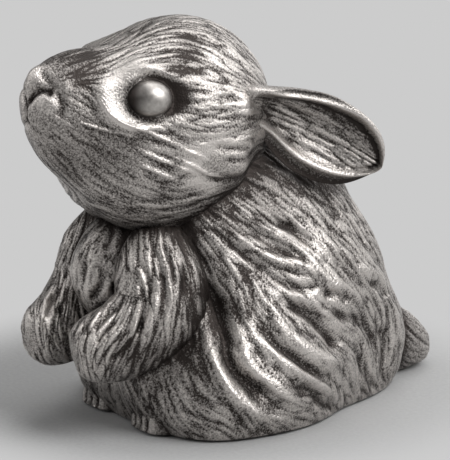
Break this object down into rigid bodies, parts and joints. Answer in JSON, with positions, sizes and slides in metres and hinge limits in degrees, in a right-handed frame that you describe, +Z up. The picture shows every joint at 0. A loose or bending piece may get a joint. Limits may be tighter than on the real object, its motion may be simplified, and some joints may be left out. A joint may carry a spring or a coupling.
{
  "type": "rabbit figurine",
  "caption": "Small cast pewter rabbit sitting upright with raised head, laid-back ears and forepaws held against its chest, standing on a flat felt-covered base.",
  "frame": {"origin": "on the floor, under the middle of the rabbit's outline from nose to tail", "axes": "+Z up, +Y towards the tail, the rabbit faces -Y, and +X is the rabbit's left side"},
  "size_m": [0.0318, 0.0532, 0.0445],
  "materials": {
    "pewter": "cast pewter, blackened in the recesses and burnished bright on the ridges of the fur",
    "plate": "rolled pewter sheet, dull satin",
    "felt": "pressed wool felt, charcoal"
  },
  "bodies": {
    "root": {"body_casting": "pewter", "head_casting": "pewter", "ear_left": "pewter", "ear_right": "pewter", "foreleg_left": "pewter", "foreleg_right": "pewter", "hind_foot_left": "pewter", "hind_foot_right": "pewter", "tail": "pewter", "base_plate": "plate", "felt_pad": "felt"}
  },
  "joints": []
}
